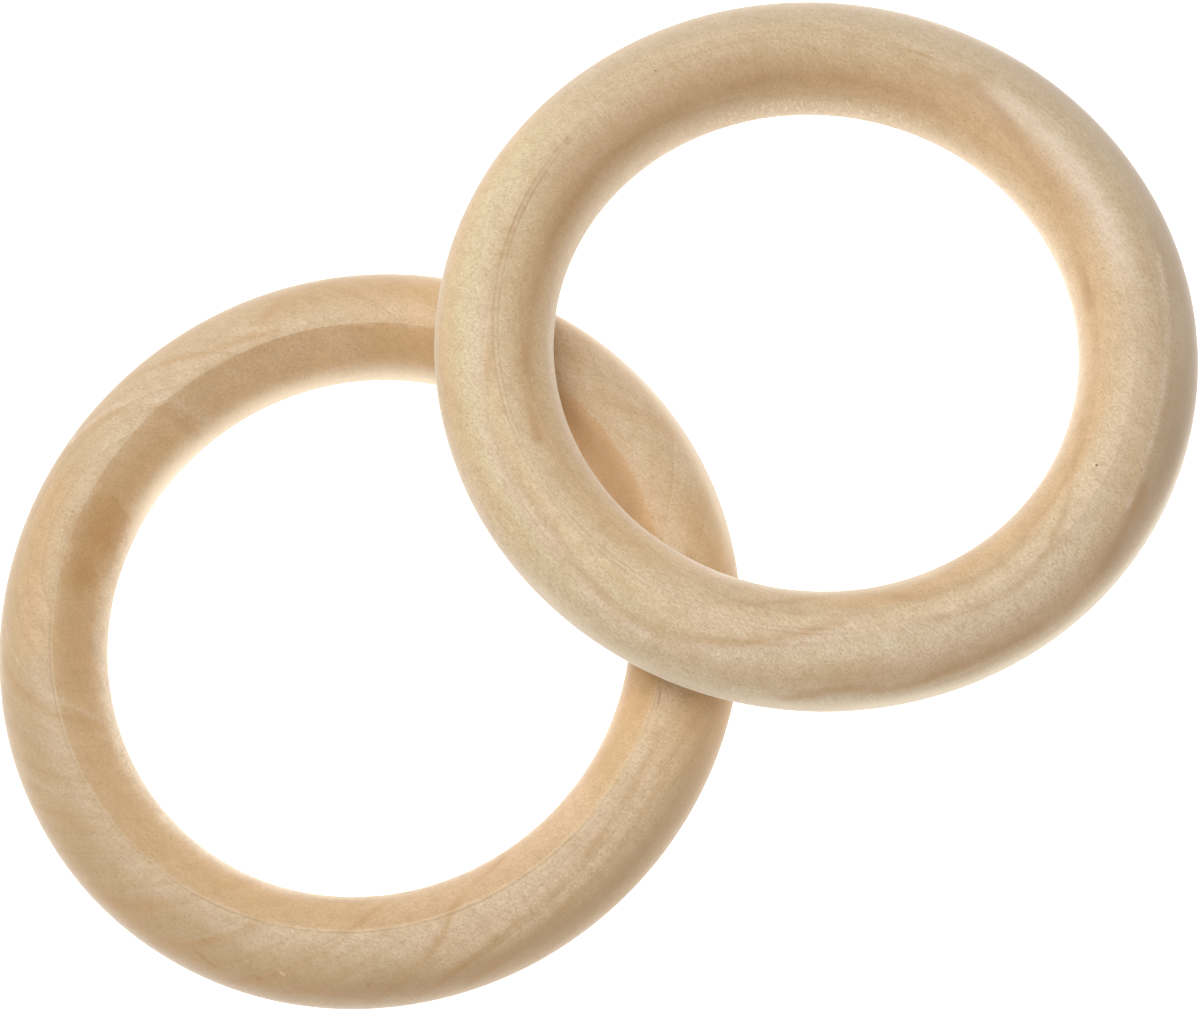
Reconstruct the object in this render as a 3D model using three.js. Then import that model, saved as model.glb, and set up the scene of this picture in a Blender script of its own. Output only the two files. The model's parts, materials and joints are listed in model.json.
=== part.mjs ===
// A pair of loose wooden gymnastics rings on a level surface. The lower ring lies flat. The upper ring leans
// on it, with its far rim on the surface. Millimetres, +Z up. The origin is at the middle of the pair's
// footprint, at the height of the surface, and the rings lean along +X.

import * as THREE from 'three';

// Both rings
const OUTER_RADIUS = 90;
const THICKNESS = 25;          // between the two flat lands, along the ring's axis
const LAND_WIDTH = 1.2;        // narrow flat on each face, between the outer and the inner form cut
const OUTER_SHOULDER_DEG = 81; // how far the outer form cut runs round before it meets the land

// The lower ring
const LOWER_SECTION_WIDTH = 26.4;
const LOWER_LAND_RADIUS = 74.4;
const LOWER_INNER_SHOULDER_DEG = 58; // a short inner cut, which leaves a crease at the land

// The upper ring
const UPPER_SECTION_WIDTH = 28.2;
const UPPER_LAND_RADIUS = 75.6;
const UPPER_INNER_SHOULDER_DEG = 84; // a full inner cut, which runs smoothly into the land

// How the pair lies
const CENTRE_SPACING = 126.2; // between the two ring centres, seen from above
const LEAN_DEG = 10.5;        // leaves 0.3 mm between the rings where they cross

// Fineness of the turned surfaces
const TURNS = 80;
const CUT_STEPS = 12; // even, so that a step falls on each rim

const BIRCH = { color: 0xd9bb93, roughness: 0.62, metalness: 0 };
const BIRCH_WARM = { color: 0xd2b184, roughness: 0.62, metalness: 0 };

const radians = THREE.MathUtils.degToRad;

// One form cut: an elliptical arc from the bottom land, round the rim, to the top land.
function formCut(landEdge, rim, shoulder) {
  const reach = (rim - landEdge) / (1 - Math.cos(shoulder));
  const crest = THICKNESS / 2 / Math.sin(shoulder);
  const points = [];
  for (let step = 0; step <= CUT_STEPS; step++) {
    const angle = shoulder * (2 * step / CUT_STEPS - 1);
    points.push(new THREE.Vector2(rim - reach * (1 - Math.cos(angle)), crest * Math.sin(angle)));
  }
  return points;
}

// The section of a ring: two form cuts and the two lands between them, as (radius, height).
function ringSection(sectionWidth, landRadius, innerShoulderDeg) {
  const outerCut = formCut(landRadius + LAND_WIDTH / 2, OUTER_RADIUS, radians(OUTER_SHOULDER_DEG));
  const innerRadius = OUTER_RADIUS - sectionWidth;
  const innerCut = formCut(landRadius - LAND_WIDTH / 2, innerRadius, radians(innerShoulderDeg));
  return [...outerCut, ...innerCut.reverse(), outerCut[0]];
}

// A ring turned from one piece of wood, about its own Z axis.
function turnedRing(name, section, finish) {
  const geometry = new THREE.LatheGeometry(section, TURNS).rotateX(Math.PI / 2);
  const ring = new THREE.Mesh(geometry, new THREE.MeshStandardMaterial(finish));
  ring.name = name;
  return ring;
}

const lean = radians(LEAN_DEG);
const lowerSection = ringSection(LOWER_SECTION_WIDTH, LOWER_LAND_RADIUS, LOWER_INNER_SHOULDER_DEG);
const upperSection = ringSection(UPPER_SECTION_WIDTH, UPPER_LAND_RADIUS, UPPER_INNER_SHOULDER_DEG);

// How far the leaning ring's far rim reaches below and beyond the ring's own centre.
const rimDrop = Math.max(...upperSection.map((p) => p.x * Math.sin(lean) - p.y * Math.cos(lean)));
const rimReach = Math.max(...upperSection.map((p) => p.x * Math.cos(lean) + p.y * Math.sin(lean)));
const lowerCentreX = (OUTER_RADIUS - CENTRE_SPACING - rimReach) / 2;

const lowerRing = turnedRing('lower_ring', lowerSection, BIRCH_WARM);
lowerRing.position.set(lowerCentreX, 0, THICKNESS / 2);

const upperRing = turnedRing('upper_ring', upperSection, BIRCH);
upperRing.position.set(lowerCentreX + CENTRE_SPACING, 0, rimDrop);
upperRing.rotation.y = lean;

const ringPair = new THREE.Group();
ringPair.name = 'gymnastics_rings';
ringPair.add(lowerRing, upperRing);

export default ringPair;
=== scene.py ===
import json
import math

import bpy
import numpy as np
from mathutils import Matrix, Vector, noise


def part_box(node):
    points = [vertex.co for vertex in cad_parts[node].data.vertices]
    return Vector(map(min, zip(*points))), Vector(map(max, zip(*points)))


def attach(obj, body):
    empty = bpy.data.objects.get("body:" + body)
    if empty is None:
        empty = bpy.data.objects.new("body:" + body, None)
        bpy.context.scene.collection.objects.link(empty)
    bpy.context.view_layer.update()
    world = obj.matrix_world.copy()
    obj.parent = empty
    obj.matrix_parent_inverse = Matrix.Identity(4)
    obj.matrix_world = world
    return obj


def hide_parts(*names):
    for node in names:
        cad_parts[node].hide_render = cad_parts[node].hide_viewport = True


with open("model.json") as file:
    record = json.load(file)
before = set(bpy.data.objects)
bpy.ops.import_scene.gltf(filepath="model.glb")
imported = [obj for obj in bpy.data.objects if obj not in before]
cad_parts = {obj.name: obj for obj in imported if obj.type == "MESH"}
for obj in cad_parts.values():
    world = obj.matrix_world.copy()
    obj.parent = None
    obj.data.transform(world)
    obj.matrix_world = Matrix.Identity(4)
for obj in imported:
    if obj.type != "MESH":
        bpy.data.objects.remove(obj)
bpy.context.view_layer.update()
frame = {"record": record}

# A pair of loose gymnastics rings, each turned from one board of pale close-pored hardwood. Metres.

MM = 0.001

# The turned section, as on the CAD rings
LAND_WIDTH = 1.2 * MM
OUTER_SHOULDER = math.radians(81)

# Fineness of the ring meshes
TURNS = 720
ROWS_PER_CUT = 54
OUTLINE_STEPS = 400
EDGE_OFFSETS = np.array([-0.5, -0.28, -0.14, 0.0, 0.14, 0.28, 0.5]) * MM
# Half the chord that a normal is taken from, so that the edges of the land are crisp but not broken
NORMAL_REACH = 0.12 * MM

# What the tools left on the surface, mm deep. The visual rings lie a little inside the CAD rings.
SURFACE_ALLOWANCE_MM = 0.07
SANDING_MM = 0.05
SANDING_SCALE = 24 * MM
FINE_SANDING_MM = 0.018
FINE_SANDING_SCALE = 5 * MM
TEAR_MM = 0.17
TEAR_SCALE = 0.9 * MM
CHATTER_MM = 0.010
CHATTER_PITCH = 0.23 * MM
GROOVE_MM = 0.09
GROOVE_WIDTH = 0.17 * MM
BURR_MM = 0.05
BURR_WIDTH = 0.20 * MM
CREASE_WEAR_WIDTH = 1.0 * MM

# Lines of grain are laid out on the surface as if it were unrolled at this radius
GRIP_RADIUS_MM = 76.0
# A soft band fades in and out over this share of its length at each end
BAND_FADE = 0.18
# Radius of the inner wall, along which a stain's length is measured
WALL_RADIUS = 68 * MM


def smoothstep(low, high, value):
    t = np.clip((value - low) / (high - low), 0.0, 1.0)
    return t * t * (3.0 - 2.0 * t)


def linear(red, green, blue):
    """A display colour, 0 to 255, as scene-linear RGBA."""
    channels = np.array([red, green, blue]) / 255.0
    values = np.where(channels <= 0.04045, channels / 12.92, ((channels + 0.055) / 1.055) ** 2.4)
    return (*values.tolist(), 1.0)


# ---------------------------------------------------------------- where each ring lies


def mount(name):
    return next(m for m in frame["record"]["mounts"] if m["name"] == name)


def ring_place(node, land_mount):
    """The centre, axis tilt, outer radius, half thickness and land radius of a CAD ring."""
    low, high = (np.array(corner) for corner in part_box(node))
    centre = (low + high) / 2
    axis = np.array(mount(land_mount)["axis"])
    land_point = np.array(mount(land_mount)["pos_m"]) - centre
    half_thickness = float(land_point @ axis)
    return {
        "centre": centre,
        "tilt": math.atan2(axis[0], axis[2]),
        "outer_radius": (high[1] - low[1]) / 2,
        "half_thickness": half_thickness,
        "land_radius": float(np.linalg.norm(land_point - half_thickness * axis)),
    }


# ---------------------------------------------------------------- the ring's section


def form_cut(land_edge, rim, shoulder, half_thickness):
    """An elliptical arc from the lower land, round the rim, to the upper land."""
    reach = (rim - land_edge) / (1 - math.cos(shoulder))
    crest = half_thickness / math.sin(shoulder)
    angle = np.linspace(-shoulder, shoulder, OUTLINE_STEPS + 1)
    return np.stack([rim - reach * (1 - np.cos(angle)), crest * np.sin(angle)], axis=1)


def section_rows(place, wood):
    """Rows round the section: radius, height, normal, and distance past the nearer land's inner edge."""
    land = place["land_radius"]
    half_thickness = place["half_thickness"]
    inner_rim = place["outer_radius"] - wood["section_width"]
    outer = form_cut(land + LAND_WIDTH / 2, place["outer_radius"], OUTER_SHOULDER, half_thickness)
    inner = form_cut(land - LAND_WIDTH / 2, inner_rim, wood["inner_shoulder"], half_thickness)[::-1]
    outline = np.vstack([outer, inner, outer[:1]])
    steps = np.linalg.norm(np.diff(outline, axis=0), axis=1)
    along = np.concatenate([[0.0], np.cumsum(steps)])
    total = along[-1]
    outer_end, inner_start = along[len(outer) - 1], along[len(outer)]
    inner_end = along[len(outer) + len(inner) - 1]

    edges = (0.0, outer_end, inner_start, inner_end)
    stations = [edge + offset for edge in edges for offset in EDGE_OFFSETS]
    for start, end in ((0.0, outer_end), (inner_start, inner_end)):
        inside = np.linspace(start + EDGE_OFFSETS[-1], end - EDGE_OFFSETS[-1], ROWS_PER_CUT + 2)
        stations.extend(inside[1:-1])
    stations = np.sort(np.mod(stations, total))

    def at(places):
        places = np.mod(places, total)
        return np.interp(places, along, outline[:, 0]), np.interp(places, along, outline[:, 1])

    radius, height = at(stations)
    radius_ahead, height_ahead = at(stations + NORMAL_REACH)
    radius_behind, height_behind = at(stations - NORMAL_REACH)
    d_radius, d_height = radius_ahead - radius_behind, height_ahead - height_behind
    length = np.hypot(d_radius, d_height)
    middle = (inner_start + inner_end) / 2
    from_middle = np.abs(np.mod(stations - middle + total / 2, total) - total / 2)
    return {
        "radius": radius,
        "height": height,
        "normal": np.stack([d_height / length, -d_radius / length], axis=1),
        "past_crease": (inner_end - inner_start) / 2 - from_middle,
        "along": stations,
    }


# ---------------------------------------------------------------- growth layers


def swollen_layers(points, wood):
    """How far out through growth layers that bulge up steeply round one place in the board, mm."""
    x, y, z = (points / MM).T
    centre_x, centre_y = wood["swelling_centre_mm"]
    radius_x, radius_y = wood["swelling_radii_mm"]
    fall = (x - centre_x) ** 2 / (2 * radius_x) + (y - centre_y) ** 2 / (2 * radius_y)
    return np.sqrt(np.maximum(2 * wood["swelling_spread_mm"] * (fall - z + wood["swelling_cap_mm"]), 0.0))


def level_layers(points, wood):
    """Height in a stack of growth layers that lies nearly level: tilted, coned and a little twisted, mm."""
    angle = np.arctan2(points[:, 1], points[:, 0])
    beyond = (np.hypot(points[:, 0], points[:, 1]) - wood["cone_radius"]) / MM
    cone = wood["cone_slope"] + wood["cone_slope_change"] * np.cos(angle - wood["cone_change_towards"])
    tilt = wood["tilt_mm"] * np.cos(angle - wood["tilt_towards"])
    twist = wood["twist_mm"] * np.cos(3 * (angle - wood["twist_towards"]))
    return points[:, 2] / MM + cone * beyond + tilt + twist


# ---------------------------------------------------------------- relief, stains, bands and lines of grain


def noise_field(points, scale, seed):
    """Smooth noise at points (N, 3), with features about `scale` across, from -1 to 1."""
    offset = Vector((seed * 7.31, seed * 3.77, seed * 5.13))
    return np.array([noise.noise(Vector(p) + offset) for p in points / scale])


def line_profile(distance, width):
    return np.exp(-((distance / width) ** 2))


def turn_from(angle, middle):
    """The angle past `middle`, from minus to plus half a turn."""
    return np.mod(angle - middle + math.pi, 2 * math.pi) - math.pi


def torn_share(angle, fibre_angle):
    """How much the inner cutter lifted the fibres: two opposite quadrants, where it ran against them."""
    against = -np.sin(2 * (angle - fibre_angle))
    return smoothstep(0.25, 0.95, against)


def end_grain_stain(surface, stain, seed):
    """A blotch of thirsty end grain on the inner wall, with an abrupt edge on one side and a darker core."""
    points = surface["points"]
    along = turn_from(surface["angle"], stain["angle"]) * WALL_RADIUS / stain["half_length"]
    down = (surface["past_crease"] - stain["past_crease"]) / stain["half_width"]
    ragged = 0.30 * noise_field(points, 4 * MM, seed) + 0.22 * noise_field(points, 1.2 * MM, seed + 1)
    softness = np.where(along < 0, 0.15, 0.50)
    patch = 1.0 - smoothstep(1.0 - softness, 1.0 + softness * 0.5, np.hypot(along, down) + ragged)
    core = 1.0 - smoothstep(0.1, 0.8, np.hypot(along * 1.2, down - 0.2))
    return patch * (0.62 + 0.38 * core)


def soft_band(surface, band, seed):
    """A soft stretch of tone that follows the ring, at a distance past the crease that changes along it."""
    start_deg, end_deg, start_past_mm, end_past_mm, half_width_mm, share, _ = band
    span = math.radians(end_deg - start_deg)
    along = np.mod(surface["angle"] - math.radians(start_deg), 2 * math.pi) / span
    inside = 1.0
    if span < 2 * math.pi:
        inside = smoothstep(0.0, BAND_FADE, along) * (1.0 - smoothstep(1.0 - BAND_FADE, 1.0, along))
    path = start_past_mm + (end_past_mm - start_past_mm) * np.clip(along, 0.0, 1.0)
    path = path + 0.8 * noise_field(surface["points"], 16 * MM, seed)
    return share * inside * line_profile(surface["past_crease"] / MM - path, half_width_mm)


def smooth_path(knots, steps=16):
    """Points on a smooth curve through given knots (Catmull-Rom)."""
    knots = np.array(knots, dtype=float)
    padded = np.vstack([2 * knots[0] - knots[1], knots, 2 * knots[-1] - knots[-2]])
    share = np.linspace(0.0, 1.0, steps, endpoint=False)[:, None]
    pieces = []
    for before, start, end, after in zip(padded, padded[1:], padded[2:], padded[3:]):
        bend = 2 * before - 5 * start + 4 * end - after
        twist = 3 * start - before - 3 * end + after
        pieces.append(start + 0.5 * share * (end - before + share * (bend + share * twist)))
    return np.vstack([*pieces, knots[-1:]])


def grain_line(surface, wobble, line):
    """How near each point is to a line of grain, drawn over the ring's surface through a few knots."""
    _, half_width_mm, share, knots = line
    path = smooth_path(knots)
    middle = math.radians(path[:, 0].mean())
    around = turn_from(surface["angle"], middle) * GRIP_RADIUS_MM
    across = surface["past_crease"] / MM
    path_around = (np.radians(path[:, 0]) - middle) * GRIP_RADIUS_MM
    nearest = np.full(len(around), np.inf)
    for at_around, at_across in zip(path_around, path[:, 1]):
        nearest = np.minimum(nearest, (around - at_around) ** 2 + (across - at_across) ** 2)
    return share * line_profile(np.sqrt(nearest) + wobble, half_width_mm)


# ---------------------------------------------------------------- a ring's mesh


def turned_surface(rows, wood):
    """The smooth turned surface, row by row round the ring, before any relief."""
    count = len(rows["radius"])
    angle = np.arange(TURNS) * (2 * math.pi / TURNS)
    cos, sin = np.cos(angle)[:, None], np.sin(angle)[:, None]
    radius, height = rows["radius"][None, :], rows["height"][None, :]
    n_radial, n_axial = rows["normal"][None, :, 0], rows["normal"][None, :, 1]
    points = np.stack([radius * cos, radius * sin, height + 0 * cos], axis=2).reshape(-1, 3)
    normals = np.stack([n_radial * cos, n_radial * sin, n_axial + 0 * cos], axis=2).reshape(-1, 3)
    fibre = np.array([math.cos(wood["fibre_angle"]), math.sin(wood["fibre_angle"]), 0.0])
    across = np.array([-fibre[1], fibre[0], 0.0])
    return {
        "points": points,
        "normals": normals,
        "in_wood": np.stack([points @ fibre, points @ across, points[:, 2]], axis=1),
        "end_grain": np.abs(normals @ fibre),
        "angle": np.repeat(angle, count),
        "past_crease": np.tile(rows["past_crease"], TURNS),
        "along": np.tile(rows["along"], TURNS),
    }


def tool_marks(surface, wood):
    """What the cutters left: torn fibres, and the fine groove and burr beside the land."""
    points, angle, past_crease = surface["points"], surface["angle"], surface["past_crease"]
    seed = wood["seed"]
    inner = smoothstep(-0.3 * MM, 0.5 * MM, past_crease)
    torn = torn_share(angle, wood["fibre_angle"]) * inner
    torn = np.clip(torn * (0.9 + 0.35 * noise_field(points, 14 * MM, seed + 1)), 0.0, 1.0)
    round_points = np.stack([np.cos(angle), np.sin(angle), 0 * angle], axis=1)
    strength = np.clip(0.6 + 0.9 * noise_field(round_points, 0.35, seed + 5), 0.15, 1.0)
    strength = strength * smoothstep(-0.6, 0.3, np.cos(angle - wood["lines_towards"]))
    return {
        "inner": inner,
        "torn": torn,
        "groove": sum(line_profile(past_crease - at, GROOVE_WIDTH) for at in wood["grooves"]) * strength,
        "burr": sum(line_profile(past_crease - at, BURR_WIDTH) for at in wood["burrs"]) * strength,
    }


def relief(surface, marks, wood):
    """How far the real surface stands off the smooth turned one, in metres."""
    points = surface["points"]
    seed = wood["seed"]
    sanding = SANDING_MM * noise_field(points, SANDING_SCALE, seed + 2)
    sanding = sanding + FINE_SANDING_MM * noise_field(points, FINE_SANDING_SCALE, seed + 3)
    lifted = noise_field(surface["in_wood"] / np.array([3.0, 1.0, 1.0]), TEAR_SCALE, seed + 4)
    tearing = -TEAR_MM * marks["torn"] * np.clip(lifted - 0.05, 0.0, 1.0)
    chatter = CHATTER_MM * marks["inner"] * np.sin(surface["along"] / CHATTER_PITCH)
    wear = np.clip(0.45 + 1.1 * noise_field(points, 7 * MM, seed + 20), 0.0, 1.0)
    wear = wear + 0.5 * np.clip(noise_field(points, 1.5 * MM, seed + 21), 0.0, 1.0)
    wear = wood["crease_wear_mm"] * wear * line_profile(surface["past_crease"], CREASE_WEAR_WIDTH)
    lines = BURR_MM * marks["burr"] - GROOVE_MM * marks["groove"]
    return (sanding - SURFACE_ALLOWANCE_MM + tearing + chatter - wear + lines) * MM


def ring_faces(count):
    """Quads between neighbouring turns and rows, closed both ways."""
    index = np.arange(TURNS * count).reshape(TURNS, count)
    next_turn = np.roll(index, -1, axis=0)
    next_row = np.roll(index, -1, axis=1)
    corner = np.roll(next_turn, -1, axis=1)
    return np.stack([index, next_turn, corner, next_row], axis=2).reshape(-1, 4)


def line_tones(wood):
    return sorted({line[0] for line in wood["grain_lines"]})


def wood_attributes(surface, marks, wood):
    """The values that the wood's material reads at each point."""
    points = surface["points"]
    seed = wood["seed"]
    growth = wood["layers"](points, wood)
    growth = growth + wood["wave_mm"] * noise_field(points, wood["wave_length"], seed + 6)
    blotches = [end_grain_stain(surface, stain, seed + 7) for stain in wood["stains"]]
    values = {
        "growth": growth,
        "end_grain": surface["end_grain"],
        "torn": marks["torn"],
        "groove": marks["groove"],
        "burr": marks["burr"],
        "stain": np.max([np.zeros(len(points)), *blotches], axis=0),
        "past_crease": surface["past_crease"] / MM,
    }
    for number, band in enumerate(wood["bands"] + wood["painted_light_over_texture"]):
        values[f"band_{number}"] = soft_band(surface, band, seed + 9 + number)
    wobble = 0.5 * noise_field(points, 6 * MM, seed + 40) + 0.35 * noise_field(points, 2 * MM, seed + 41)
    presence = np.clip(0.9 + 1.1 * noise_field(points, 11 * MM, seed + 42), 0.35, 1.3)
    for tone in line_tones(wood):
        lines = [line for line in wood["grain_lines"] if line[0] == tone]
        shares = [grain_line(surface, wobble, line) for line in lines]
        values[f"grain_{tone}"] = presence * np.max(shares, axis=0)
    return values


def add_attribute(mesh, name, kind, field, values):
    attribute = mesh.attributes.new(name, kind, "POINT")
    attribute.data.foreach_set(field, np.ascontiguousarray(values, dtype=np.float32).ravel())


def ring_mesh(name, place, wood):
    rows = section_rows(place, wood)
    surface = turned_surface(rows, wood)
    marks = tool_marks(surface, wood)
    standing_off = relief(surface, marks, wood)
    surface["points"] = surface["points"] + surface["normals"] * standing_off[:, None]

    turn = Matrix.Rotation(place["tilt"], 3, "Y")
    world = surface["points"] @ np.array(turn).T + place["centre"]
    faces = ring_faces(len(rows["radius"]))
    mesh = bpy.data.meshes.new(name)
    mesh.from_pydata(world.tolist(), [], faces.tolist())
    mesh.polygons.foreach_set("use_smooth", [True] * len(faces))
    add_attribute(mesh, "wood_mm", "FLOAT_VECTOR", "vector", surface["in_wood"] / MM)
    for attribute, values in wood_attributes(surface, marks, wood).items():
        add_attribute(mesh, attribute, "FLOAT", "value", values)
    mesh.update()
    return mesh


def top_point(place, wood, angle_deg, radius):
    """A point on a ring's upper face, in the wood's own directions, mm."""
    rows = section_rows(place, wood)
    upper = rows["height"] > 0
    order = np.argsort(rows["radius"][upper])
    height = np.interp(radius, rows["radius"][upper][order], rows["height"][upper][order])
    turn = math.radians(angle_deg) - wood["fibre_angle"]
    return (radius * math.cos(turn) / MM, radius * math.sin(turn) / MM, float(height) / MM)


# ---------------------------------------------------------------- the wood

# The wood's noises: changes per mm along the fibre, across it and up; detail; roughness
NOISES = {
    "clouds": ((0.03, 0.06, 0.06), 3.0, 0.6),
    "wander": ((0.03, 0.10, 0.10), 3.0, 0.6),
    "presence": ((0.03, 0.05, 0.05), 2.0, 0.5),
    "ragged": ((0.16, 0.16, 0.16), 5.0, 0.72),
    "mottle": ((0.24, 0.34, 0.34), 3.0, 0.65),
    "streaks": ((0.05, 0.9, 0.9), 4.0, 0.62),
    "fibres": ((0.8, 2.6, 2.6), 3.0, 0.7),
    "speckle": ((1.7, 1.7, 1.7), 4.0, 0.85),
    "pores": ((1.2, 3.4, 3.4), 1.0, 0.5),
    "fuzz": ((0.9, 1.8, 1.8), 4.0, 0.75),
    "ticks": ((0.55, 1.9, 0.5), 1.0, 0.5),
}
# How far one ring's noises lie from the next seed's, mm
SEED_SHIFT_MM = (91.0, 57.0, 23.0)
# Tones that change from growth layer to layer: changes per mm, from, to, share and tone
LAYER_TONES = [
    (0.21, 0.40, 0.62, 0.60, "warm"),
    (0.37, 0.46, 0.66, 0.50, "green"),
    (1.3, 0.46, 0.74, 0.26, "late"),
]
# The texture laid over the layers: noise, from, to, share and tone
TEXTURE = [
    ("mottle", 0.40, 0.72, 0.30, "late"),
    ("streaks", 0.35, 0.75, 0.26, "streak"),
    ("fibres", 0.36, 0.74, 0.46, "late"),
    ("speckle", 0.47, 0.76, 0.85, "late"),
]
# Distance past the crease over which the outer flank turns browner, mm
FLANK_BLEND_MM = (-17.0, -2.0)


class Nodes:
    """Short calls for building a material's node tree."""

    def __init__(self, material):
        material.use_nodes = True
        self.tree = material.node_tree
        self.tree.nodes.clear()

    def new(self, kind, **settings):
        node = self.tree.nodes.new(kind)
        for key, value in settings.items():
            setattr(node, key, value)
        return node

    def put(self, socket, value):
        if isinstance(value, bpy.types.NodeSocket):
            self.tree.links.new(value, socket)
        else:
            socket.default_value = value

    def math(self, operation, *values):
        node = self.new("ShaderNodeMath", operation=operation)
        for socket, value in zip(node.inputs, values):
            self.put(socket, value)
        return node.outputs[0]

    def times(self, first, *others):
        for other in others:
            first = self.math("MULTIPLY", first, other)
        return first

    def vector(self, operation, *values):
        node = self.new("ShaderNodeVectorMath", operation=operation)
        for socket, value in zip(node.inputs, values):
            self.put(socket, value)
        return node.outputs["Value" if operation in ("LENGTH", "DOT_PRODUCT") else 0]

    def attribute(self, name, output="Fac"):
        return self.new("ShaderNodeAttribute", attribute_name=name).outputs[output]

    def noise(self, vector, detail=2.0, roughness=0.5):
        node = self.new("ShaderNodeTexNoise")
        self.put(node.inputs["Vector"], vector)
        node.inputs["Scale"].default_value = 1.0
        node.inputs["Detail"].default_value = detail
        node.inputs["Roughness"].default_value = roughness
        return node.outputs["Fac"]

    def spread(self, value, low, high, to_low=0.0, to_high=1.0):
        node = self.new("ShaderNodeMapRange", interpolation_type="SMOOTHSTEP")
        for key, number in (("From Min", low), ("From Max", high), ("To Min", to_low), ("To Max", to_high)):
            node.inputs[key].default_value = number
        self.put(node.inputs["Value"], value)
        return node.outputs[0]

    def mix(self, share, first, second):
        node = self.new("ShaderNodeMix", data_type="RGBA")
        colours = [socket for socket in node.inputs if socket.type == "RGBA"]
        self.put(node.inputs[0], share)
        self.put(colours[0], first)
        self.put(colours[1], second)
        return next(socket for socket in node.outputs if socket.type == "RGBA")


def growth_lines(n, wander, wood):
    """The growth level, its layer's number, how late in the layer, and how near the layer's dark last line."""
    wander = n.times(n.math("SUBTRACT", wander, 0.5), wood["wander_mm"])
    level = n.math("ADD", n.math("ADD", n.attribute("growth"), wander), wood["first_layer_mm"])
    layers = n.math("DIVIDE", level, wood["layer_mm"])
    share = n.math("FRACT", layers)
    late = n.times(n.spread(share, 0.45, 0.95), n.spread(share, 0.95, 1.0, 1.0, 0.0))
    line = n.times(n.spread(share, 0.87, 0.94), n.spread(share, 0.94, 0.99, 1.0, 0.0))
    return level, n.math("FLOOR", layers), late, line


def layer_tone(n, level, seeded, per_mm):
    """A tone that changes from layer to layer and only slowly within one."""
    across = n.new("ShaderNodeCombineXYZ")
    n.put(across.inputs["X"], n.times(level, per_mm))
    slow = n.vector("MULTIPLY", seeded, (0.012, 0.012, 0.012))
    return n.noise(n.vector("ADD", across.outputs[0], slow))


def timber_tones(n, seeded, noises, level, wood):
    """The slow clouding of the timber, and the tones of its layers."""
    colour = n.mix(n.spread(noises["clouds"], 0.32, 0.68, 0.0, 0.45), wood["pale"], wood["warm"])
    for per_mm, low, high, share, tone in LAYER_TONES:
        shown = n.spread(layer_tone(n, level, seeded, per_mm), low, high, 0.0, share)
        colour = n.mix(shown, colour, wood[tone])
    return colour


def turned_tones(n, colour, past, inner, wood):
    """The inner cut is browner than the crest, partly rough-cut wood and partly painted shade, and so is the
    outer flank; the pale rim is painted light from the glowing floor, over paler wood at the edge.
    """
    # browner inner cut: rough-cut wood, with painted shade on the inner wall
    colour = n.mix(n.times(inner, wood["inner_share"]), colour, wood["inner"])
    colour = n.mix(n.spread(past, *FLANK_BLEND_MM, wood["outer_share"], 0.0), colour, wood["outer"])
    # pale rim: painted light thrown up by the glowing floor, over paler wood at the edge
    near_rim = n.spread(past, *wood["rim_blend_mm"])
    return n.mix(n.times(near_rim, wood["rim_glow_share"]), colour, wood["rim"])


def band_tones(n, colour, bands, first, wood):
    for number, band in enumerate(bands, first):
        colour = n.mix(n.attribute(f"band_{number}"), colour, wood[band[-1]])
    return colour


def year_tones(n, colour, noises, inner, layer, late, line, wood):
    """Each year has its own tone, darkens late and closes with a fine line, less so on the inner wall."""
    year = n.new("ShaderNodeTexWhiteNoise", noise_dimensions="1D")
    n.put(year.inputs["W"], n.math("ADD", layer, wood["year_seed"]))
    year = year.outputs["Value"]
    shown = n.math("SUBTRACT", 1.0, n.times(inner, wood["wall_fade"]))
    presence = n.spread(noises["presence"], 0.36, 0.60, 0.30, 1.0)
    presence = n.times(presence, n.spread(year, 0.0, 0.8, 0.25, 1.0), shown)
    colour = n.mix(n.times(year, shown, wood["year_share"]), colour, wood["warm"])
    colour = n.mix(n.times(late, presence, wood["late_share"]), colour, wood["late"])
    return n.mix(n.times(line, presence, wood["line_share"]), colour, wood["pore"])


def cut_fibre_tones(n, colour, fuzz, torn, torn_patch, ticks, wood):
    """End grain soaks up more and looks browner, and so does the torn surface of the inner cut."""
    end = n.spread(n.attribute("end_grain"), 0.55, 1.0)
    colour = n.mix(n.times(end, 0.12), colour, wood["end"])
    colour = n.mix(n.times(torn, wood["torn_share"]), colour, wood["torn"])
    colour = n.mix(n.times(torn_patch, 0.14), colour, wood["pore"])
    colour = n.mix(n.times(ticks, 0.50), colour, wood["glow_and_lifted_fibre"])
    stain = n.times(n.attribute("stain"), n.spread(fuzz, 0.34, 0.64, 0.60, 1.0))
    return n.mix(n.times(stain, 0.52), colour, wood["stain"])


def small_marks(n, colour, place_mm, wood, place):
    """The groove and burr beside the land, and single specks and scratches."""
    colour = n.mix(n.times(n.attribute("groove"), 0.38), colour, wood["pore"])
    colour = n.mix(n.times(n.attribute("burr"), 0.35), colour, wood["burr"])
    for start, end, half_width, share, tone in wood["marks"]:
        ends = [top_point(place, wood, angle_deg, radius * MM) for angle_deg, radius in (start, end)]
        colour = n.mix(mark_share(n, place_mm, ends, half_width, share), colour, wood[tone])
    return colour


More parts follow.
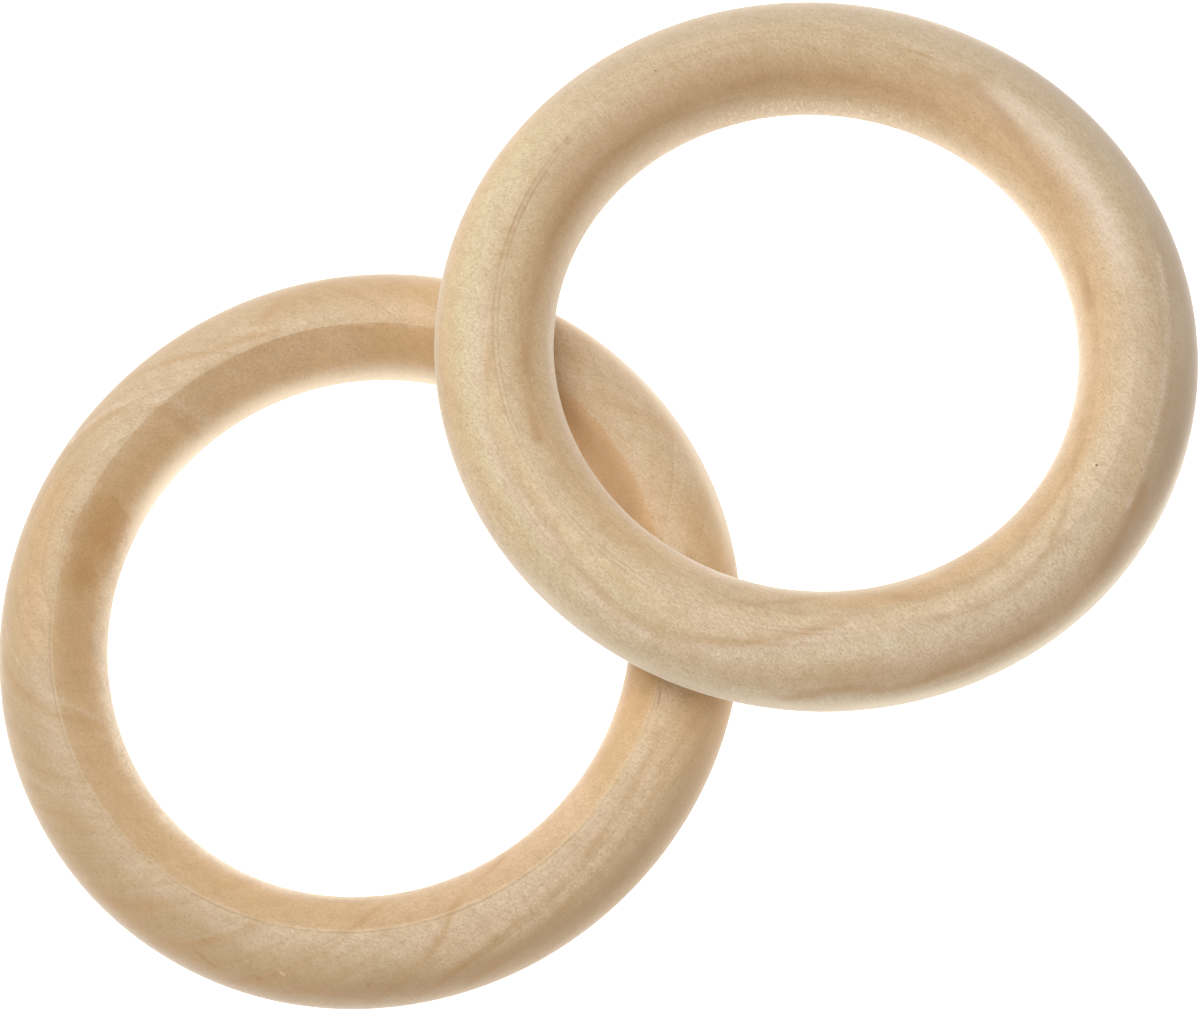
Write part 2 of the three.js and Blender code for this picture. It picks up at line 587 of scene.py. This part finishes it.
def mark_share(n, place_mm, ends, half_width, share):
    """The share of a small mark: a speck, or a thin line from one end to the other."""
    start, finish = (Vector(end) for end in ends)
    half_length = (finish - start).length / 2 + half_width
    direction = (finish - start).normalized() if (finish - start).length > 0 else Vector((1, 0, 0))
    offset = n.vector("SUBTRACT", place_mm, tuple((start + finish) / 2))
    along = n.math("ABSOLUTE", n.vector("DOT_PRODUCT", offset, tuple(direction)))
    distance = n.vector("LENGTH", offset)
    across = n.math("SUBTRACT", n.math("POWER", distance, 2.0), n.math("POWER", along, 2.0))
    size = n.math("ADD", n.math("POWER", n.math("DIVIDE", along, half_length), 2.0),
                  n.math("DIVIDE", across, half_width ** 2))
    return n.spread(size, 0.25, 1.0, share, 0.0)


def fine_relief(n, noises, pores, torn_patch, ticks):
    """The normal of the sanded surface: raised fibres, open pores and torn patches."""
    height = n.math("ADD", n.times(noises["fibres"], 0.55), n.times(noises["streaks"], 0.35))
    height = n.math("ADD", height, n.times(noises["speckle"], 0.5))
    height = n.math("SUBTRACT", height, n.times(pores, 0.45))
    height = n.math("SUBTRACT", height, n.times(torn_patch, 1.3))
    height = n.math("ADD", height, n.times(ticks, 1.5))
    bump = n.new("ShaderNodeBump")
    bump.inputs["Strength"].default_value = 0.55
    bump.inputs["Distance"].default_value = 0.06 * MM
    n.put(bump.inputs["Height"], height)
    return bump.outputs["Normal"]


def wood_material(name, wood, place):
    material = bpy.data.materials.new(name)
    n = Nodes(material)
    place_mm = n.attribute("wood_mm", "Vector")
    seeded = n.vector("ADD", place_mm, tuple(wood["seed"] * shift for shift in SEED_SHIFT_MM))
    noises = {
        noise_name: n.noise(n.vector("MULTIPLY", seeded, per_mm), detail, roughness)
        for noise_name, (per_mm, detail, roughness) in NOISES.items()
    }
    level, layer, late, line = growth_lines(n, noises["wander"], wood)

    # the crease is a ragged edge, not an even one
    ragged = n.times(n.math("SUBTRACT", noises["ragged"], 0.5), wood["ragged_mm"])
    past = n.math("ADD", n.attribute("past_crease"), ragged)
    inner = n.spread(past, *wood["crease_blend_mm"])
    torn = n.times(n.attribute("torn"), inner)
    torn_patch = n.times(torn, n.spread(noises["fuzz"], 0.40, 0.66))
    near_rim = n.spread(past, *wood["tick_blend_mm"])
    ticks = n.times(n.spread(noises["ticks"], 0.60, 0.67), n.times(torn, near_rim))
    pores = n.spread(noises["pores"], 0.62, 0.74)

    colour = timber_tones(n, seeded, noises, level, wood)
    colour = turned_tones(n, colour, past, inner, wood)
    colour = band_tones(n, colour, wood["bands"], 0, wood)
    for tone in line_tones(wood):
        colour = n.mix(n.attribute(f"grain_{tone}"), colour, wood[tone])
    colour = year_tones(n, colour, noises, inner, layer, late, line, wood)
    for noise_name, low, high, share, tone in TEXTURE:
        colour = n.mix(n.spread(noises[noise_name], low, high, 0.0, share), colour, wood[tone])
    colour = n.mix(n.times(pores, 0.40), colour, wood["pore"])
    # painted light: the glow on the rims and a highlight on the land, laid over the texture
    colour = band_tones(n, colour, wood["painted_light_over_texture"], len(wood["bands"]), wood)
    colour = cut_fibre_tones(n, colour, noises["fuzz"], torn, torn_patch, ticks, wood)
    colour = small_marks(n, colour, place_mm, wood, place)

    surface = n.new("ShaderNodeBsdfPrincipled")
    n.put(surface.inputs["Base Color"], colour)
    rough = n.math("ADD", n.times(noises["fibres"], 0.16), 0.47)
    n.put(surface.inputs["Roughness"], n.math("ADD", rough, n.times(torn, 0.12)))
    surface.inputs["Specular IOR Level"].default_value = 0.38
    surface.inputs["Sheen Weight"].default_value = 0.40
    surface.inputs["Sheen Roughness"].default_value = 0.45
    n.put(surface.inputs["Normal"], fine_relief(n, noises, pores, torn_patch, ticks))
    out = n.new("ShaderNodeOutputMaterial")
    n.put(out.inputs["Surface"], surface.outputs["BSDF"])
    return material


# ---------------------------------------------------------------- the two rings

LOWER_WOOD = {
    "seed": 3,
    "year_seed": 0.0,
    "section_width": 26.4 * MM,
    "inner_shoulder": math.radians(58),
    "fibre_angle": math.radians(120),
    "layers": swollen_layers,
    "swelling_centre_mm": (-30.0, 43.0),
    "swelling_radii_mm": (28.0, 20.0),
    "swelling_spread_mm": 24.0,
    "swelling_cap_mm": 14.0,
    "wave_mm": 1.2,
    "wave_length": 30 * MM,
    "wander_mm": 1.6,
    "layer_mm": 4.6,
    "first_layer_mm": 1.3,
    "grooves": [-0.5 * MM],
    "burrs": [0.15 * MM],
    "lines_towards": math.radians(240),
    "ragged_mm": 7.0,
    "crease_wear_mm": 0.16,
    "crease_blend_mm": (-0.15, 0.45),
    "pale": linear(225, 203, 168),
    "warm": linear(212, 183, 141),
    "green": linear(214, 191, 155),
    "late": linear(184, 150, 108),
    "year_share": 0.27,
    "late_share": 0.25,
    "wall_fade": 0.60,
    "line_share": 0.12,
    # inner cut: rough-cut wood, with painted shade
    "inner": linear(213, 171, 117),
    "inner_share": 0.50,
    "outer": linear(192, 160, 117),
    "outer_share": 0.60,
    # pale rim: painted light from the glowing floor, over paler wood at the edge
    "rim": linear(248, 232, 200),
    "rim_glow_share": 0.85,
    "rim_blend_mm": (8.5, 15.0),
    "tick_blend_mm": (14.0, 17.0),
    "torn": linear(176, 136, 94),
    "torn_share": 0.10,
    "streak": linear(202, 169, 126),
    "pore": linear(150, 112, 76),
    "end": linear(176, 136, 94),
    "burr": linear(236, 208, 168),
    "stain": linear(178, 122, 58),
    # pale tone: pale grain, painted highlight along the crest, and painted light under the upper ring
    "crest": linear(240, 222, 199),
    "brown": linear(196, 148, 96),
    "straw": linear(243, 216, 184),
    "orange": linear(228, 186, 132),
    # near white: painted glow on the rims, and the pale lifted fibres near the inner rim
    "glow_and_lifted_fibre": linear(255, 239, 208),
    # painted shade: darker flanks, and the shade that the upper ring casts on this ring
    "dusk": linear(172, 144, 116),
    "speck": linear(70, 48, 32),
    # soft tones along the ring: from and to in degrees, distance past the crease at each in mm, half width in
    # mm, share and tone
    "bands": [
        # painted highlight along the crest, just outside the land
        (0, 360, -3.2, -3.2, 3.6, 0.38, "crest"),
        (36, 66, 4.0, 4.0, 6.0, 0.40, "brown"),
        (56, 108, 5.5, 7.0, 4.2, 0.36, "crest"),
        (44, 124, 0.9, 0.9, 1.3, 0.22, "brown"),
        (304, 348, 7.0, 7.0, 5.0, 0.55, "orange"),
        (38, 84, -9.0, -9.0, 5.0, 0.28, "brown"),
        (72, 114, -9.0, -9.0, 4.0, 0.28, "crest"),
        (112, 168, 5.5, 5.5, 5.0, 0.35, "brown"),
        (50, 150, 8.0, 9.0, 4.5, 0.55, "orange"),
        (118, 158, -10.0, -4.0, 5.0, 0.50, "orange"),
        # painted shade on the outer flank
        (152, 198, -6.0, -6.0, 9.0, 0.30, "dusk"),
        (190, 226, -8.0, -8.0, 9.0, 0.20, "dusk"),
        (180, 300, -15.0, -15.0, 2.6, 0.43, "brown"),
        (228, 330, -15.5, -15.0, 3.6, 0.34, "dusk"),
        (246, 314, -7.5, -7.5, 5.0, 0.78, "straw"),
        (240, 300, 6.0, 6.0, 5.0, 0.45, "straw"),
        # painted shade where the upper ring shades this ring
        (346, 388, 3.0, 3.0, 4.0, 0.60, "dusk"),
        # painted light on the flank, lifting the shadow that the upper ring casts here
        (346, 404, -12.0, -12.0, 6.0, 0.50, "crest"),
    ],
    # the same, over the texture: painted light, the glow that the bright floor throws up onto the inner and
    # outer rims
    "painted_light_over_texture": [
        (30, 134, 16.4, 16.8, 4.3, 0.90, "glow_and_lifted_fibre"),
        (334, 412, -19.0, -18.5, 3.2, 0.52, "glow_and_lifted_fibre"),
    ],
    # lines of grain: tone, half width in mm, share, and knots as (degrees round the ring, mm past the crease)
    "grain_lines": [
        ("brown", 1.0, 0.51, [(122, -16), (113, -12), (107, -6), (103, 0), (101, 8), (100, 14)]),
        ("crest", 1.0, 0.60, [(116, -15), (108, -10), (102, -3), (99, 3), (97, 10)]),
        ("brown", 0.9, 0.42, [(102, -14), (95, -8), (88, -4), (76, -2)]),
        ("brown", 1.8, 0.39, [(66, -15), (73, -11), (78, -7)]),
        ("crest", 0.8, 0.26, [(148, -15), (156, -8), (162, -2), (165, 3), (169, 11)]),
        ("brown", 0.9, 0.36, [(155, -15), (161, -8), (166, -2), (168, 4), (171, 11)]),
        ("crest", 0.9, 0.26, [(170, -17), (178, -9), (184, -2)]),
        ("brown", 1.0, 0.30, [(177, -17), (184, -9), (190, -2), (192, 5)]),
        ("brown", 1.7, 0.34, [(195, -18), (202, -11), (209, -4), (212, 0), (214, 5), (218, 10)]),
        ("brown", 0.9, 0.45, [(207, -18), (214, -11), (221, -4), (224, 1)]),
        ("brown", 0.9, 0.51, [(221, -18), (231, -9), (239, -2), (243, 4), (248, 9)]),
        ("brown", 1.2, 0.52, [(242, -18), (249, -12), (256, -5), (259, 0), (264, 5), (272, 9)]),
        ("brown", 0.9, 0.63, [(250, -18), (258, -13), (268, -9), (280, -6.5), (292, -4.6), (308, -3.8)]),
        ("brown", 0.8, 0.51, [(258, -18), (267, -14), (278, -11.4), (292, -9.6), (306, -9.2)]),
        ("brown", 1.8, 0.24, [(334, -15), (345, -9), (354, -2)]),
        ("brown", 1.7, 0.30, [(360, -16), (367, -9), (374, -2)]),
    ],
    "stains": [
        {
            "angle": math.radians(129),
            "half_length": 9.6 * MM,
            "past_crease": 6.6 * MM,
            "half_width": 8.4 * MM,
        },
        {
            "angle": math.radians(138),
            "half_length": 6.0 * MM,
            "past_crease": 4.5 * MM,
            "half_width": 4.6 * MM,
        },
    ],
    # small marks: two ends as (angle in degrees, radius in mm), half width in mm, share and tone
    "marks": [
        ((316.6, 74.7), (312.2, 75.4), 0.26, 0.35, "speck"),
        ((127.4, 75.6), (127.4, 75.6), 0.40, 0.35, "speck"),
        ((214.0, 85.4), (218.3, 87.2), 0.70, 0.30, "stain"),
        ((225.3, 86.7), (225.3, 86.7), 0.80, 0.35, "stain"),
        ((242.8, 85.9), (242.8, 85.9), 0.70, 0.35, "stain"),
        ((229.5, 84.7), (228.7, 84.2), 0.45, 0.60, "burr"),
    ],
}

# What differs on the upper ring
UPPER_WOOD = {
    **LOWER_WOOD,
    "seed": 8,
    "year_seed": 40.0,
    "section_width": 28.2 * MM,
    "inner_shoulder": math.radians(84),
    "fibre_angle": math.radians(107),
    "layers": level_layers,
    "cone_radius": 75 * MM,
    "cone_slope": -0.325,
    "cone_slope_change": 0.317,
    "cone_change_towards": math.radians(205),
    "tilt_mm": 1.2,
    "tilt_towards": math.radians(194),
    "twist_mm": 0.5,
    "twist_towards": math.radians(-48),
    "wave_mm": 0.35,
    "wave_length": 22 * MM,
    "wander_mm": 0.8,
    "layer_mm": 3.85,
    "first_layer_mm": -1.0,
    "grooves": [0.1 * MM, -1.1 * MM],
    "burrs": [],
    "lines_towards": math.radians(150),
    "ragged_mm": 3.0,
    "crease_wear_mm": 0.0,
    "crease_blend_mm": (-1.0, 6.0),
    # inner cut: rough-cut wood, with painted shade
    "inner": linear(216, 177, 131),
    "inner_share": 0.45,
    # pale rim: painted light from the glowing floor, over paler wood at the edge
    "rim": linear(247, 230, 198),
    "rim_glow_share": 0.75,
    "rim_blend_mm": (12.0, 18.5),
    "tick_blend_mm": (13.5, 16.5),
    "outer_share": 0.42,
    "year_share": 0.38,
    "late_share": 0.20,
    "wall_fade": 0.0,
    "line_share": 0.10,
    "torn_share": 0.08,
    "pale": linear(233, 216, 186),
    "warm": linear(221, 195, 157),
    "green": linear(220, 205, 174),
    "russet": linear(182, 136, 92),
    "rosy": linear(206, 164, 130),
    "reed": linear(230, 221, 180),
    "amber": linear(224, 190, 138),
    # painted shade on the right flank, which also colours one line of grain there
    "dusk": linear(158, 132, 106),
    "straw": linear(238, 224, 194),
    "brown": linear(196, 152, 108),
    "sage": linear(204, 188, 164),
    "bands": [
        # painted highlight along the land
        (140, 400, -0.3, 0.9, 2.8, 0.56, "crest"),
        (24, 150, 9.6, 9.0, 3.2, 0.43, "brown"),
        (350, 406, 7.5, 5.0, 3.6, 0.53, "brown"),
        (60, 130, 4.5, 4.5, 3.8, 0.55, "rosy"),
        (236, 304, -11.0, -10.0, 3.6, 0.56, "rosy"),
        (116, 218, 9.5, 9.0, 6.0, 0.60, "amber"),
        (150, 222, -2.0, -3.5, 2.4, 0.38, "orange"),
        (200, 330, 5.4, 4.0, 4.2, 0.65, "straw"),
        (216, 256, -8.5, -3.5, 2.6, 0.78, "straw"),
        (240, 300, -4.0, -4.0, 3.4, 0.78, "straw"),
        (246, 290, -9.0, -7.0, 3.0, 0.50, "crest"),
        # painted shade on the right flank
        (284, 330, -14.0, -9.5, 3.0, 0.50, "dusk"),
        (296, 398, -15.0, -13.0, 5.0, 0.84, "dusk"),
        (300, 480, -7.0, -9.0, 5.0, 0.56, "sage"),
        # painted highlight on the land
        (338, 390, 1.6, 1.6, 2.4, 0.85, "crest"),
        (232, 330, 7.5, 9.0, 2.6, 0.62, "orange"),
        (318, 440, 11.0, 11.0, 4.0, 0.44, "orange"),
        (108, 212, -7.6, -9.0, 3.0, 0.50, "straw"),
        (98, 228, -9.0, -10.0, 7.0, 0.62, "reed"),
        (104, 196, -14.5, -14.5, 3.5, 0.44, "orange"),
        (160, 262, -17.0, -17.0, 4.5, 0.50, "straw"),
        (322, 404, 15.0, 16.0, 4.5, 0.62, "warm"),
    ],
    # painted light over the texture: a highlight on the land, and the glow that the bright floor throws up
    # onto the rims
    "painted_light_over_texture": [
        (336, 392, 2.2, 0.6, 2.6, 0.32, "crest"),
        (210, 272, 13.6, 13.6, 3.0, 0.45, "glow_and_lifted_fibre"),
        (40, 190, 17.0, 16.0, 3.4, 0.32, "rim"),
        (186, 244, -19.5, -20.5, 2.6, 0.35, "glow_and_lifted_fibre"),
        (232, 324, -20.5, -19.0, 2.4, 0.60, "glow_and_lifted_fibre"),
    ],
    "grain_lines": [
        ("brown", 1.3, 0.68, [
            (112, -0.6), (150, -1.4), (167, -4.8), (188, -5.4), (201, -8.2), (212, -9.6), (222, -7.2),
            (233, -2.8), (244, 2.0),
        ]),
        ("russet", 1.4, 0.56, [
            (235, -17.5), (243, -14), (251, -15.4), (262, -13.8), (280, -14), (292, -12), (303, -9),
        ]),
        ("dusk", 1.3, 0.34, [(292, -12), (303, -9), (315, -7.6), (330, -8), (350, -9.5)]),
        ("crest", 0.9, 0.83, [(299, -8), (312, -6.4), (330, -6.6), (344, -8)]),
        ("crest", 1.8, 0.72, [(216, -10.6), (226, -8.2), (237, -3.4), (247, 1.4)]),
        ("crest", 1.6, 0.70, [(252, -1.8), (264, -4), (278, -4), (292, -1.8)]),
        ("crest", 1.8, 0.76, [(148, -3.4), (168, -7), (190, -7.4), (202, -10.2), (213, -11.4)]),
        ("russet", 1.6, 0.62, [(338, 12.2), (351, 11.2), (361, 9.2), (373, 6.8), (384, 3.4), (392, 0.6)]),
        ("brown", 1.7, 0.85, [
            (34, 10.6), (60, 9.2), (92, 9.6), (125, 9.4), (145, 8.4), (160, 6.2), (174, 4),
        ]),
        ("russet", 1.0, 0.58, [(282, -1), (291, 3.2), (299, 7.4), (311, 12)]),
        ("russet", 1.5, 0.48, [(249, 10.5), (257, 6), (268, 4.2), (281, 4.8), (291, 8.4)]),
        ("russet", 0.8, 0.39, [(256, 0), (265, -2.4), (277, -2.4), (288, 0)]),
        ("russet", 1.0, 0.42, [(222, 3), (230, 6), (239, 10)]),
    ],
    "stains": [],
    "marks": [
        ((44.5, 75.6), (36.6, 75.3), 0.35, 0.35, "stain"),
        ((302.3, 71.9), (302.3, 71.9), 0.38, 0.80, "speck"),
        ((335.6, 83.8), (309.8, 83.5), 0.35, 0.24, "stain"),
        ((340.6, 77.1), (340.6, 77.1), 0.40, 0.35, "stain"),
        ((344.1, 68.8), (344.1, 68.8), 0.40, 0.30, "stain"),
        ((90.7, 76.1), (90.7, 76.1), 0.35, 0.40, "speck"),
    ],
}


def turned_ring(node, land_mount, wood):
    """A CAD ring's finer stand-in, which rides on the same body."""
    place = ring_place(node, land_mount)
    ring = bpy.data.objects.new(node + "_turned", ring_mesh(node + "_turned", place, wood))
    bpy.context.collection.objects.link(ring)
    ring.data.materials.append(wood_material(node + "_wood", wood, place))
    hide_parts(node)
    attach(ring, node)


turned_ring("lower_ring", "lower_ring_top_land", LOWER_WOOD)
turned_ring("upper_ring", "upper_ring_top_land", UPPER_WOOD)


# ---------------------------------------------------------------- floor, light and camera

# The floor is pale and glows a little, as a backlit studio table does
FLOOR_SIZE = 8.0
FLOOR_TONE = (0.60, 0.60, 0.60, 1.0)
FLOOR_GLOW = 1.30
WHITE = (1.0, 1.0, 1.0, 1.0)


def pale_floor():
    mesh = bpy.data.meshes.new("floor")
    half = FLOOR_SIZE / 2
    corners = [(-half, -half, 0), (half, -half, 0), (half, half, 0), (-half, half, 0)]
    mesh.from_pydata(corners, [], [(0, 1, 2, 3)])
    floor = bpy.data.objects.new("floor", mesh)
    bpy.context.collection.objects.link(floor)
    material = bpy.data.materials.new("pale_floor")
    material.use_nodes = True
    surface = material.node_tree.nodes["Principled BSDF"]
    surface.inputs["Base Color"].default_value = FLOOR_TONE
    surface.inputs["Roughness"].default_value = 0.9
    surface.inputs["Specular IOR Level"].default_value = 0.1
    surface.inputs["Emission Color"].default_value = WHITE
    surface.inputs["Emission Strength"].default_value = FLOOR_GLOW
    mesh.materials.append(material)


def soft_light(name, place, diameter, power):
    """A round white lamp that faces the rings."""
    light = bpy.data.lights.new(name, "AREA")
    light.shape = "DISK"
    light.size = diameter
    light.energy = power
    lamp = bpy.data.objects.new(name, light)
    lamp.location = place
    lamp.rotation_euler = (-Vector(place)).to_track_quat("-Z", "Y").to_euler()
    bpy.context.collection.objects.link(lamp)


def sky(strength, seen_strength):
    """Dim surroundings that light the rings a little, seen behind them as pale as the floor."""
    world = bpy.data.worlds.new("studio")
    world.use_nodes = True
    tree = world.node_tree
    background = tree.nodes["Background"]
    background.inputs["Color"].default_value = WHITE
    background.inputs["Strength"].default_value = strength
    seen = tree.nodes.new("ShaderNodeBackground")
    seen.inputs["Color"].default_value = WHITE
    seen.inputs["Strength"].default_value = seen_strength
    rays = tree.nodes.new("ShaderNodeLightPath")
    mix = tree.nodes.new("ShaderNodeMixShader")
    tree.links.new(rays.outputs["Is Camera Ray"], mix.inputs[0])
    tree.links.new(background.outputs[0], mix.inputs[1])
    tree.links.new(seen.outputs[0], mix.inputs[2])
    tree.links.new(mix.outputs[0], tree.nodes["World Output"].inputs["Surface"])
    bpy.context.scene.world = world


CAMERA_PLACE = Vector((-0.0107, -0.3047, 0.9519))
CAMERA_TARGET = Vector((0.0011, 0.0016, 0.0))
CAMERA_ROLL = math.radians(28.48)
CAMERA_LENS_MM = 124.2
SENSOR_WIDTH_MM = 36.0
CAMERA_CLIP = (0.01, 50.0)


def camera():
    data = bpy.data.cameras.new("camera")
    data.lens = CAMERA_LENS_MM
    data.sensor_width = SENSOR_WIDTH_MM
    data.clip_start, data.clip_end = CAMERA_CLIP
    eye = bpy.data.objects.new("camera", data)
    aim = (CAMERA_TARGET - CAMERA_PLACE).to_track_quat("-Z", "Y").to_matrix().to_4x4()
    eye.matrix_world = Matrix.Translation(CAMERA_PLACE) @ aim @ Matrix.Rotation(-CAMERA_ROLL, 4, "Z")
    bpy.context.collection.objects.link(eye)
    bpy.context.scene.camera = eye


pale_floor()
sky(strength=0.04, seen_strength=1.5)
soft_light("key", place=(-0.75, 2.46, 3.06), diameter=3.2, power=92.0)
soft_light("overhead", place=(0.02, 0.0, 1.30), diameter=0.9, power=8.6)
soft_light("fill", place=(0.0, -1.03, 3.86), diameter=2.6, power=18.0)
camera()
bpy.context.scene.view_settings.view_transform = "Standard"
